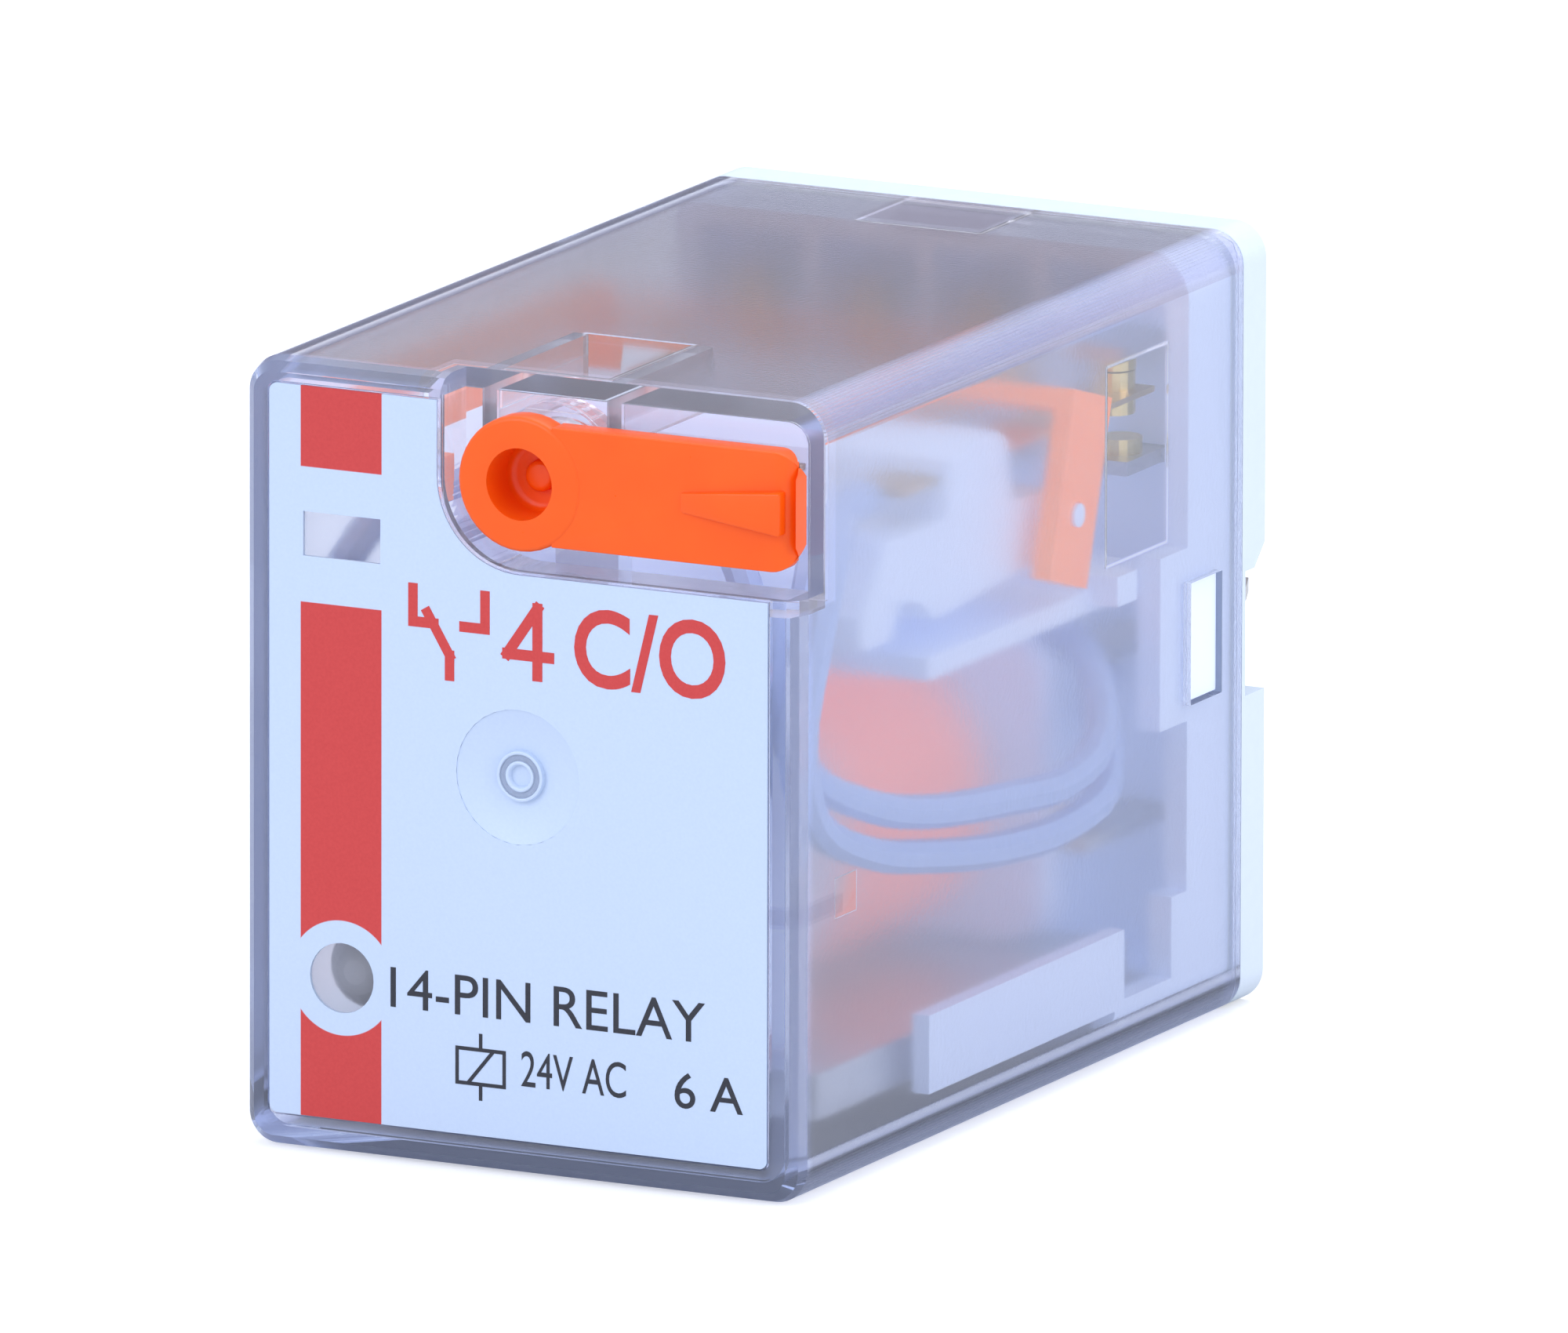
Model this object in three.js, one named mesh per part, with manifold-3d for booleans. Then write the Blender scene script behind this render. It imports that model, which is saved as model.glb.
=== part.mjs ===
import * as THREE from 'three';
import * as BufferGeometryUtils from 'three/addons/utils/BufferGeometryUtils.js';
import Module from 'manifold-3d';

// A miniature plug-in relay with four changeover contacts and fourteen blade pins.
// Millimetres, +Z up. The relay stands on its narrow side. While it is built, y = 0 is its front face
// and its pins point along +Y; the assembly is then moved so that its box is centred on the origin.

// ---- driving dimensions ----
const BODY_WIDTH = 21.2;
const BODY_DEPTH = 35.6;
const BODY_HEIGHT = 27.5;
const PIN_LENGTH = 5.4;
const WALL = 0.8;
const FRONT_WALL = 0.9;
const CORNER_RADIUS = 1.2;
const FRONT_EDGE_RADIUS = 0.9;
const FLANGE_DEPTH = 1.8;
const FIT = 0.15;
const SLIP = 0.1;
const TOUCH = 0.05;

const halfWidth = BODY_WIDTH / 2;
const coverBack = BODY_DEPTH - FLANGE_DEPTH;

// pins: four columns across, rows down from the top of the back face
const POLE_PITCH = 4.4;
const NC_ROW = BODY_HEIGHT - 3.75;
const NO_ROW = NC_ROW - 4.1;
const COM_ROW = NO_ROW - 6.3;
const COIL_ROW = COM_ROW - 6.3;
const BLADE_WIDTH = 2.5;
const BLADE_THICKNESS = 0.5;
const BLADE_TIP_WIDTH = 1.4;
const BLADE_TAPER = 1.3;
const BLADE_INNER_WIDTH = 2.0;
const SLOT_CLEARANCE = 0.03;

// base: a tray behind the cover, and what snaps into the cover
const TRAY_FLOOR = BODY_DEPTH - 2.7;
const TRAY_FRONT = TRAY_FLOOR - 2.4;
const TRAY_WALL = 0.9;
const BARRIER = 0.6;
const PEDESTAL_HALF_WIDTH = 4.5;
const LATCH_WINDOW = {
  front: TRAY_FLOOR - 3.0,
  back: TRAY_FLOOR - 0.6,
  bottom: COM_ROW - 1.75,
  top: COM_ROW + 2.55,
};
const LATCH_BLOCK = { front: TRAY_FRONT - 2.1, bottom: COM_ROW - 2.45, top: COM_ROW + 3.65 };
const LATCH_NUB = 0.75;
const RAIL_THICKNESS = 0.65;
const RAIL = { front: TRAY_FRONT - 19.6, back: TRAY_FRONT - 4.75, bottom: 1.75, top: 4.5 };
const FOOT = { front: RAIL.back - 0.7, top: RAIL.bottom + 0.3 };
const STEP = { front: TRAY_FRONT - 1.15, top: 4.9 };
const CHANNEL = { bottom: COM_ROW - 2.25, top: COM_ROW + 2.95, depth: 1.5, chamfer: 0.8 };

// lever recess, test lever and plunger
const LEVER_X = 0.05;
const LEVER_Z = BODY_HEIGHT - 3.4;
const LEVER_HUB_RADIUS = 2.35;
const LEVER_THICKNESS = 1.0;
const LEVER_ARM_WIDTH = 4.15;
const LEVER_ARM_END = halfWidth - SLIP;
const LEVER_ARM_CORNER = 0.9;
const LEVER_BEVEL = 0.2;
const GRIP_HEIGHT = 0.35;
const GRIP_LENGTH = 3.9;
const GRIP_WIDTH = 1.5;
const RECESS_RADIUS = LEVER_HUB_RADIUS + 0.7;
const RECESS_DEPTH = LEVER_THICKNESS + 1.0;
const RECESS_WALL = 0.7;
const STEM_RADIUS = 1.65;
const STEM_WALL = 0.4;
const STEM_END = RECESS_DEPTH + 1.4;
const STEM_FLOOR = 0.7;
const PLUNGER_PIN_RADIUS = 0.5;
const PLUNGER_HEAD_RADIUS = 1.0;
const SLEEVE_END = STEM_END + 0.5;
const SLEEVE_WALL = 0.6;
const PLUNGER_END = STEM_END + 1.9;
const GUIDE_RIB = 0.55;
const GUIDE_HALF_GAP = 2.1;
const GUIDE_BACK = 9.2;

// front label
const LABEL_THICKNESS = 0.12;
const LABEL_POCKET = 0.16;
const LABEL_LEFT = 1.1 - halfWidth;
const LABEL_RIGHT = halfWidth - 1.1;
const LABEL_BOTTOM = 1.3;
const LABEL_TOP = BODY_HEIGHT - 0.8;
const LABEL_CORNER = 0.3;
const DIMPLE_Z = BODY_HEIGHT / 2 + 0.18;
const DIMPLE_RADIUS = 2.3;
const DIMPLE_DEPTH = 0.42;
const DIMPLE_BOSS_RADIUS = 0.85;
const LED_X = 3.88 - halfWidth;
const LED_Z = 6.24;
const LED_RADIUS = 1.4;
const LED_WINDOW_RADIUS = 1.22;
const FLAG_WINDOW = {
  left: 2.4 - halfWidth,
  right: 5.35 - halfWidth,
  bottom: BODY_HEIGHT - 6.7,
  top: BODY_HEIGHT - 5.15,
};

// contacts: the moving rivets rest just under the normally closed ones
const SPRING_THICKNESS = 0.2;
const SPRING_WIDTH = 2.2;
const SPRING_ROOT = 12.4;
const SPRING_TIP = TRAY_FLOOR - 1.1;
const RIVET_RADIUS = 0.75;
const RIVET_SHANK_RADIUS = 0.4;
const MOVING_RIVET_Y = SPRING_TIP - 0.95;
const MOVING_RIVET_HEIGHT = 0.65;
const FIXED_RIVET_HEIGHT = 0.55;
const CONTACT_WIPE = 0.55;
const SPRING_Z = NC_ROW - (BLADE_THICKNESS + SPRING_THICKNESS) / 2
  - FIXED_RIVET_HEIGHT - TOUCH - MOVING_RIVET_HEIGHT;
const NC_INNER_END = MOVING_RIVET_Y - 1.45;
const NO_INNER_END = MOVING_RIVET_Y - 0.95;
const COM_INNER_END = MOVING_RIVET_Y - 2.15;

// magnet system
const HINGE_Y = 4.4;
const HINGE_Z = 2.8;
const ARMATURE_THICKNESS = 1.4;
const ARMATURE_HALF_WIDTH = 5.0;
const ARMATURE_LEG = { bottom: SPRING_Z - 5.95, top: SPRING_Z - 4.75, back: 12.5 };
const YOKE_HALF_WIDTH = halfWidth - 2.1;
const YOKE_THICKNESS = 1.6;
const YOKE_BOTTOM = 2.0;
const YOKE_BACK = TRAY_FLOOR - 4.9;
const YOKE_TOP_ABOVE_COIL = 4.0;
const YOKE_BACK_HALF_WIDTH = 1.5 * POLE_PITCH - BLADE_INNER_WIDTH / 2 - 0.6;
const HINGE_GAP = 0.2;
const LEAF_THICKNESS = 0.25;
const LEAF_LENGTH = 9.5;
const LEAF_RISE = 4.5;
const LEAF_HALF_WIDTH = 2.5;
const COIL_Z = 9.15;
const COIL_FRONT = 6.2;
const COIL_BACK = YOKE_BACK - YOKE_THICKNESS - 0.2;
const COIL_INNER_END = COIL_BACK + 0.3;
const BOBBIN_FLANGE = 1.0;
const BOBBIN_HALF_WIDTH = 6.6;
const BOBBIN_HALF_HEIGHT = 5.35;
const BOBBIN_CORNER = 1.5;
const WINDING_RADIUS = 5.1;
const CORE_RADIUS = 2.4;
const BOBBIN_TUBE_RADIUS = CORE_RADIUS + 0.8;
const POLE_RADIUS = 4.1;
const POLE_FACE = HINGE_Y + 0.45;
const POLE_BACK = COIL_FRONT - HINGE_GAP;
const RING_SLOT = { x: 1.2, depth: 0.7, width: 0.6 };
const PLATE = {
  halfWidth: 8.4,
  bottom: ARMATURE_LEG.bottom - 0.6,
  thickness: 0.8,
  earHalfWidth: halfWidth - WALL - 0.25,
  earBack: TRAY_FRONT - 3.7,
  earLength: 1.5,
  earTop: 1.35,
};

// indicator frame, turning on pegs at the carrier's back end
const PIVOT_Y = TRAY_FLOOR - 10.5;
const PIVOT_Z = SPRING_Z - 2.45;
const PEG_RADIUS = 0.42;
const PEG_HOLE_RADIUS = PEG_RADIUS + TOUCH;
const FRAME_OUTER = halfWidth - WALL - 0.35;
const FRAME_INNER = FRAME_OUTER - 0.7;
const CARRIER_HALF_WIDTH = FRAME_INNER - 0.65;
const FRAME_LEAN = THREE.MathUtils.degToRad(16.7);
const FRAME_HALF_LEG = 1.5;
const FRAME_BAR = { bottom: 3.5, top: 4.2 };
const FRAME_LEG_DROP = 2.4;
const FRAME_ARM = { rise: 3.7, height: 1.0, width: 1.1, front: 1.4, flagThickness: 0.8 };

const PIGTAIL_RADIUS = 0.6;
const COIL_LEAD_RADIUS = 0.2;

// ---- materials ----
const CLEAR = { color: 0xdfe3ee, roughness: 0.3, metalness: 0, transparent: true, opacity: 0.35 };
const WHITE = { color: 0xeef0f4, roughness: 0.5, metalness: 0 };
const PAPER = { color: 0xe8edf8, roughness: 0.6, metalness: 0 };
const ORANGE = { color: 0xff6a25, roughness: 0.3, metalness: 0 };
const STEEL = { color: 0xb4b8be, roughness: 0.35, metalness: 1 };
const BRASS = { color: 0xa8a39a, roughness: 0.35, metalness: 1 };
const BRONZE = { color: 0xb98a4e, roughness: 0.35, metalness: 1 };
const GOLD = { color: 0xd9c48a, roughness: 0.25, metalness: 1 };
const COPPER = { color: 0xb8683a, roughness: 0.3, metalness: 1 };
const TAPE = { color: 0xd8543a, roughness: 0.45, metalness: 0 };
const WIRE = { color: 0x8e97ab, roughness: 0.5, metalness: 0 };
const BOARD = { color: 0x2e6b45, roughness: 0.5, metalness: 0 };
const DIODE = { color: 0xcfe9d0, roughness: 0.2, metalness: 0 };

// ---- solids ----
const wasm = await Module();
wasm.setup();

function toSolid(geometry) {
  const bare = geometry.clone();
  bare.deleteAttribute('normal');
  bare.deleteAttribute('uv');
  const merged = BufferGeometryUtils.mergeVertices(bare, 1e-5);
  return new wasm.Manifold(new wasm.Mesh({
    numProp: 3,
    vertProperties: new Float32Array(merged.attributes.position.array),
    triVerts: new Uint32Array(merged.index.array),
  }));
}

function toGeometry(solid) {
  const mesh = solid.getMesh();
  const geometry = new THREE.BufferGeometry();
  geometry.setAttribute('position', new THREE.BufferAttribute(new Float32Array(mesh.vertProperties), 3));
  geometry.setIndex(new THREE.BufferAttribute(new Uint32Array(mesh.triVerts), 1));
  geometry.computeVertexNormals();
  return geometry;
}

function join(first, ...others) {
  return others.reduce((sum, geometry) => sum.add(toSolid(geometry)), toSolid(first));
}

function cut(solid, ...tools) {
  return tools.reduce((rest, geometry) => rest.subtract(toSolid(geometry)), solid);
}

function box(x0, x1, y0, y1, z0, z1) {
  const geometry = new THREE.BoxGeometry(x1 - x0, y1 - y0, z1 - z0);
  return geometry.translate((x0 + x1) / 2, (y0 + y1) / 2, (z0 + z1) / 2);
}

function polygon(points) {
  return new THREE.Shape(points.map(([u, v]) => new THREE.Vector2(u, v)));
}

function roundedRectangle(u0, u1, v0, v1, radius) {
  const shape = new THREE.Shape();
  shape.moveTo(u0 + radius, v0);
  shape.lineTo(u1 - radius, v0);
  shape.absarc(u1 - radius, v0 + radius, radius, -Math.PI / 2, 0);
  shape.absarc(u1 - radius, v1 - radius, radius, 0, Math.PI / 2);
  shape.absarc(u0 + radius, v1 - radius, radius, Math.PI / 2, Math.PI);
  shape.absarc(u0 + radius, v0 + radius, radius, Math.PI, 1.5 * Math.PI);
  return shape;
}

// A shape drawn in (x, z), extruded from y0 to y1.
function extrudeAlongY(shape, y0, y1, bevel = 0, curveSegments = 8) {
  const geometry = new THREE.ExtrudeGeometry(shape, {
    depth: y1 - y0 - 2 * bevel,
    bevelEnabled: bevel > 0,
    bevelThickness: bevel,
    bevelSize: bevel,
    bevelOffset: -bevel,
    bevelSegments: 3,
    curveSegments,
  });
  return geometry.rotateX(Math.PI / 2).translate(0, y1 - bevel, 0);
}

// A shape drawn in (y, z), extruded from x0 to x1.
function extrudeAlongX(shape, x0, x1) {
  const geometry = new THREE.ExtrudeGeometry(shape, { depth: x1 - x0, bevelEnabled: false });
  const turn = new THREE.Matrix4().makeBasis(
    new THREE.Vector3(0, 1, 0),
    new THREE.Vector3(0, 0, 1),
    new THREE.Vector3(1, 0, 0),
  );
  return geometry.applyMatrix4(turn).translate(x0, 0, 0);
}

function cylinderAlongY(radius, y0, y1, x, z, segments = 32) {
  const geometry = new THREE.CylinderGeometry(radius, radius, y1 - y0, segments);
  return geometry.translate(x, (y0 + y1) / 2, z);
}

function cylinderAlongX(radius, x0, x1, y, z, segments = 16) {
  const geometry = new THREE.CylinderGeometry(radius, radius, x1 - x0, segments);
  return geometry.rotateZ(-Math.PI / 2).translate((x0 + x1) / 2, y, z);
}

function cylinderAlongZ(radius, z0, z1, x, y, segments = 16) {
  const geometry = new THREE.CylinderGeometry(radius, radius, z1 - z0, segments);
  return geometry.rotateX(Math.PI / 2).translate(x, y, (z0 + z1) / 2);
}

function tube(points, radius, steps) {
  const section = new THREE.Shape();
  section.absarc(0, 0, radius, 0, 2 * Math.PI);
  const path = new THREE.CatmullRomCurve3(points.map(([x, y, z]) => new THREE.Vector3(x, y, z)));
  return new THREE.ExtrudeGeometry(section, {
    steps, extrudePath: path, curveSegments: 4, bevelEnabled: false,
  });
}

const relay = new THREE.Group();

function addPiece(name, shape, look) {
  const geometry = shape.isBufferGeometry ? shape : toGeometry(shape);
  const mesh = new THREE.Mesh(geometry, new THREE.MeshStandardMaterial(look));
  mesh.name = name;
  relay.add(mesh);
}

// ---- lever recess: one outline serves the cut, its walls and the label's corner ----
function recessOutline(grow) {
  const radius = RECESS_RADIUS + grow;
  const beyond = BODY_WIDTH;
  const shape = new THREE.Shape();
  shape.moveTo(beyond, LEVER_Z - radius);
  shape.lineTo(beyond, LEVER_Z + beyond);
  shape.lineTo(LEVER_X - radius, LEVER_Z + beyond);
  shape.lineTo(LEVER_X - radius, LEVER_Z);
  shape.absarc(LEVER_X, LEVER_Z, radius, Math.PI, 1.5 * Math.PI);
  return shape;
}

// ---- cover ----
const bodyOutline = roundedRectangle(-halfWidth, halfWidth, 0, BODY_HEIGHT, CORNER_RADIUS);

function makeLabelSheet(y0, y1, margin) {
  const outline = roundedRectangle(
    LABEL_LEFT - margin, LABEL_RIGHT + margin, LABEL_BOTTOM - margin, LABEL_TOP + margin,
    LABEL_CORNER,
  );
  const corner = extrudeAlongY(recessOutline(SLIP - margin), y0 - 1, y1 + 1);
  return cut(toSolid(extrudeAlongY(outline, y0, y1)), corner);
}

function makeCover() {
  const blank = extrudeAlongY(bodyOutline, 0, BODY_DEPTH + FRONT_EDGE_RADIUS, FRONT_EDGE_RADIUS);
  const past = BODY_DEPTH + 2;
  const body = cut(toSolid(blank), box(-past, past, coverBack, past, -1, past));
  const cavity = roundedRectangle(
    WALL - halfWidth, halfWidth - WALL, WALL, BODY_HEIGHT - WALL, CORNER_RADIUS - WALL / 2,
  );
  const shell = cut(body, extrudeAlongY(cavity, FRONT_WALL, past));
  const floorBack = RECESS_DEPTH + RECESS_WALL;
  const recessWall = extrudeAlongY(recessOutline(RECESS_WALL), FRONT_WALL / 2, floorBack);
  const boreRadius = STEM_RADIUS + SLIP;
  const sleeveFront = floorBack - RECESS_WALL / 2;
  const sleeve = cylinderAlongY(boreRadius + SLEEVE_WALL, sleeveFront, SLEEVE_END, LEVER_X, LEVER_Z);
  const ribs = [LEVER_X - GUIDE_HALF_GAP - GUIDE_RIB, LEVER_X + GUIDE_HALF_GAP].map((x) => box(
    x, x + GUIDE_RIB, floorBack - SLIP, GUIDE_BACK, LEVER_Z + 1.1, BODY_HEIGHT - WALL / 2,
  ));
  const windows = [-halfWidth, halfWidth].map((x) => box(
    x - 2 * WALL, x + 2 * WALL,
    LATCH_WINDOW.front, LATCH_WINDOW.back, LATCH_WINDOW.bottom, LATCH_WINDOW.top,
  ));
  const dimple = cut(
    toSolid(cylinderAlongY(DIMPLE_RADIUS, -1, DIMPLE_DEPTH, 0, DIMPLE_Z)),
    cylinderAlongY(DIMPLE_BOSS_RADIUS, LABEL_POCKET, 1, 0, DIMPLE_Z),
  );
  const withWalls = shell.add(toSolid(recessWall).intersect(body));
  const withGuides = [sleeve, ...ribs].reduce((sum, piece) => sum.add(toSolid(piece)), withWalls);
  return cut(
    withGuides,
    extrudeAlongY(recessOutline(0), -1, RECESS_DEPTH, 0, 12),
    cylinderAlongY(boreRadius, 0, SLEEVE_END + 1, LEVER_X, LEVER_Z),
    cylinderAlongY(DIMPLE_BOSS_RADIUS / 2, -1, DIMPLE_DEPTH, 0, DIMPLE_Z),
    ...windows,
  ).subtract(dimple).subtract(makeLabelSheet(-1, LABEL_POCKET, TOUCH));
}
addPiece('cover', makeCover(), CLEAR);

// ---- front label ----
function makeLabel() {
  const back = LABEL_POCKET - 0.4 * TOUCH;
  return cut(
    makeLabelSheet(back - LABEL_THICKNESS, back, 0),
    box(FLAG_WINDOW.left, FLAG_WINDOW.right, -1, 1, FLAG_WINDOW.bottom, FLAG_WINDOW.top),
    cylinderAlongY(LED_WINDOW_RADIUS, -1, 1, LED_X, LED_Z),
    cylinderAlongY(DIMPLE_RADIUS + TOUCH, -1, 1, 0, DIMPLE_Z),
  );
}
addPiece('front_label', makeLabel(), PAPER);

// ---- base ----
const poleX = [-1.5, -0.5, 0.5, 1.5].map((step) => step * POLE_PITCH);
const coilX = [poleX[0], poleX[3]];

function makeLatch(side, trayHalf) {
  const along = (from, to) => [Math.min(side * from, side * to), Math.max(side * from, side * to)];
  const block = box(
    ...along(trayHalf - TRAY_WALL, trayHalf),
    LATCH_BLOCK.front, coverBack, LATCH_BLOCK.bottom, LATCH_BLOCK.top,
  );
  const nub = box(
    ...along(trayHalf - SLIP, trayHalf + LATCH_NUB),
    LATCH_WINDOW.front + SLIP, LATCH_WINDOW.back - SLIP,
    LATCH_WINDOW.bottom + SLIP, LATCH_WINDOW.top - SLIP,
  );
  return [block, nub];
}

function makeRail(side, trayHalf, trayBottom, plug) {
  const along = (depth) => [trayHalf - depth, trayHalf].map((x) => side * x).sort((a, b) => a - b);
  const rail = join(
    box(...along(RAIL_THICKNESS), RAIL.front, RAIL.back, RAIL.bottom, RAIL.top),
    box(...along(TRAY_WALL), FOOT.front, TRAY_FRONT + TOUCH, trayBottom, FOOT.top),
    box(...along(TRAY_WALL), STEP.front, TRAY_FRONT + TOUCH, trayBottom, STEP.top),
  );
  return rail.intersect(toSolid(extrudeAlongY(plug, RAIL.front - 1, TRAY_FRONT + 1)));
}

function makeChannel() {
  const floor = BODY_DEPTH - CHANNEL.depth;
  return extrudeAlongX(polygon([
    [floor, CHANNEL.bottom],
    [BODY_DEPTH + 1, CHANNEL.bottom],
    [BODY_DEPTH + 1, CHANNEL.top + 1],
    [BODY_DEPTH, CHANNEL.top],
    [BODY_DEPTH - CHANNEL.chamfer, CHANNEL.top - CHANNEL.chamfer],
    [floor, CHANNEL.top - CHANNEL.chamfer],
  ]), -BODY_WIDTH, BODY_WIDTH);
}

function makeBase() {
  const trayHalf = halfWidth - WALL - FIT;
  const trayBottom = WALL + FIT;
  const trayTop = BODY_HEIGHT - WALL - FIT;
  const trayRadius = CORNER_RADIUS - WALL / 2;
  const plug = roundedRectangle(-trayHalf, trayHalf, trayBottom, trayTop, trayRadius);
  const inside = roundedRectangle(
    TRAY_WALL - trayHalf, trayHalf - TRAY_WALL, trayBottom + TRAY_WALL, trayTop - TRAY_WALL, trayRadius / 2,
  );
  const flange = extrudeAlongY(bodyOutline, coverBack + TOUCH, BODY_DEPTH);
  const tray = cut(
    toSolid(extrudeAlongY(plug, TRAY_FRONT, coverBack + 0.5)),
    extrudeAlongY(inside, TRAY_FRONT - 1, TRAY_FLOOR),
  );
  const barriers = [-1, 0, 1].map((step) => box(
    step * POLE_PITCH - BARRIER / 2, step * POLE_PITCH + BARRIER / 2,
    TRAY_FRONT, coverBack, NO_ROW - 1.8, trayTop - TRAY_WALL / 2,
  ));
  const pedestal = box(
    -PEDESTAL_HALF_WIDTH, PEDESTAL_HALF_WIDTH,
    YOKE_BACK + TOUCH, coverBack, YOKE_BOTTOM + 1.2, COM_ROW - 1.0,
  );
  const pieces = [...makeLatch(-1, trayHalf), ...makeLatch(1, trayHalf), ...barriers, pedestal, flange];
  const rails = [-1, 1].map((side) => makeRail(side, trayHalf, trayBottom, plug));
  const solid = pieces.reduce((sum, piece) => sum.add(toSolid(piece)), tray.add(rails[0]).add(rails[1]));
  const rows = [[NC_ROW, poleX], [NO_ROW, poleX], [COM_ROW, poleX], [COIL_ROW, coilX]];
  const slotHalfWidth = BLADE_WIDTH / 2 + SLOT_CLEARANCE;
  const slotHalfHeight = BLADE_THICKNESS / 2 + SLOT_CLEARANCE;
  const slots = rows.flatMap(([z, columns]) => columns.map((x) => box(
    x - slotHalfWidth, x + slotHalfWidth,
    LATCH_BLOCK.front - 1, BODY_DEPTH + 1, z - slotHalfHeight, z + slotHalfHeight,
  )));
  return cut(solid, makeChannel(), ...slots);
}
addPiece('base', makeBase(), WHITE);

// ---- test lever and plunger ----
function makeLever() {
  const armHalf = LEVER_ARM_WIDTH / 2;
  const armOutline = roundedRectangle(
    LEVER_X - STEM_RADIUS + FIT, LEVER_ARM_END, LEVER_Z - armHalf, LEVER_Z + armHalf, LEVER_ARM_CORNER,
  );
  const hubOutline = new THREE.Shape();
  hubOutline.absarc(LEVER_X, LEVER_Z, LEVER_HUB_RADIUS, 0, 2 * Math.PI);
  const gripEnd = LEVER_ARM_END - 0.4;
  const grip = new THREE.ExtrudeGeometry(
    polygon([[gripEnd - GRIP_LENGTH, SLIP], [gripEnd, -GRIP_HEIGHT], [gripEnd, SLIP]]),
    { depth: GRIP_WIDTH, bevelEnabled: false },
  ).translate(0, 0, LEVER_Z - GRIP_WIDTH / 2);
  const solid = join(
    extrudeAlongY(armOutline, 0, LEVER_THICKNESS, LEVER_BEVEL, 6),
    extrudeAlongY(hubOutline, 0, LEVER_THICKNESS, LEVER_BEVEL, 20),
    cylinderAlongY(STEM_RADIUS, LEVER_THICKNESS / 2, STEM_END, LEVER_X, LEVER_Z),
    grip,
  );
  return cut(
    solid,
    cylinderAlongY(STEM_RADIUS - STEM_WALL, -1, STEM_END - STEM_FLOOR, LEVER_X, LEVER_Z),
    cylinderAlongY(PLUNGER_PIN_RADIUS + FIT, 0, STEM_END + 1, LEVER_X, LEVER_Z),
  );
}
addPiece('test_lever', makeLever(), ORANGE);

function makePlunger() {
  const headBack = STEM_END - STEM_FLOOR - SLIP;
  const bodyFront = STEM_END + SLIP;
  const bodyBack = bodyFront + 0.9;
  return join(
    cylinderAlongY(PLUNGER_HEAD_RADIUS, headBack - 0.35, headBack, LEVER_X, LEVER_Z),
    cylinderAlongY(PLUNGER_PIN_RADIUS, headBack - 0.2, bodyFront + 0.1, LEVER_X, LEVER_Z),
    cylinderAlongY(STEM_RADIUS - TOUCH, bodyFront, bodyBack, LEVER_X, LEVER_Z),
    cylinderAlongY(PLUNGER_HEAD_RADIUS, bodyBack - 0.2, PLUNGER_END, LEVER_X, LEVER_Z),
  );
}
addPiece('test_plunger', makePlunger(), ORANGE);

// ---- magnet system ----
const yoke = cut(
  join(
    box(
      -YOKE_HALF_WIDTH, YOKE_HALF_WIDTH, HINGE_Y + HINGE_GAP, YOKE_BACK,
      YOKE_BOTTOM, YOKE_BOTTOM + YOKE_THICKNESS,
    ),
    box(
      -YOKE_BACK_HALF_WIDTH, YOKE_BACK_HALF_WIDTH, YOKE_BACK - YOKE_THICKNESS, YOKE_BACK,
      YOKE_BOTTOM, COIL_Z + YOKE_TOP_ABOVE_COIL,
    ),
  ),
  cylinderAlongY(CORE_RADIUS + 0.4 * TOUCH, YOKE_BACK - 2 * YOKE_THICKNESS, YOKE_BACK + 1, 0, COIL_Z),
);
addPiece('yoke', yoke, STEEL);

const core = cut(
  join(
    cylinderAlongY(CORE_RADIUS, POLE_BACK - 0.2, YOKE_BACK, 0, COIL_Z),
    cylinderAlongY(POLE_RADIUS, POLE_FACE, POLE_BACK, 0, COIL_Z, 40),
  ),
  box(
    RING_SLOT.x - RING_SLOT.width / 2 - TOUCH, RING_SLOT.x + RING_SLOT.width / 2 + TOUCH,
    POLE_FACE - 1, POLE_FACE + RING_SLOT.depth + TOUCH, 0, COIL_Z + 2 * POLE_RADIUS,
  ),
);
addPiece('core', core, STEEL);

function makeShadingRing() {
  const left = RING_SLOT.x - RING_SLOT.width / 2;
  const ringHalf = POLE_RADIUS + RING_SLOT.width;
  const ringFront = POLE_FACE + TOUCH;
  const ringBack = POLE_FACE + RING_SLOT.depth;
  const outside = box(left, ringHalf, ringFront, ringBack, COIL_Z - ringHalf, COIL_Z + ringHalf);
  const bar = box(
    left, left + RING_SLOT.width, ringFront, ringBack, COIL_Z - POLE_RADIUS, COIL_Z + POLE_RADIUS,
  );
  const pole = cylinderAlongY(POLE_RADIUS + TOUCH, POLE_FACE - 1, POLE_BACK + 1, 0, COIL_Z, 40);
  return cut(toSolid(outside), pole).add(toSolid(bar));
}
addPiece('shading_ring', makeShadingRing(), COPPER);

function makeBobbin() {
  const flangeOutline = roundedRectangle(
    -BOBBIN_HALF_WIDTH, BOBBIN_HALF_WIDTH,
    COIL_Z - BOBBIN_HALF_HEIGHT, COIL_Z + BOBBIN_HALF_HEIGHT, BOBBIN_CORNER,
  );
  return cut(
    join(
      extrudeAlongY(flangeOutline, COIL_FRONT, COIL_FRONT + BOBBIN_FLANGE),
      extrudeAlongY(flangeOutline, COIL_BACK - BOBBIN_FLANGE, COIL_BACK),
      cylinderAlongY(BOBBIN_TUBE_RADIUS, COIL_FRONT, COIL_BACK, 0, COIL_Z),
    ),
    cylinderAlongY(CORE_RADIUS + TOUCH, COIL_FRONT - 1, COIL_BACK + 1, 0, COIL_Z),
  );
}
addPiece('bobbin', makeBobbin(), WHITE);

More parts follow.
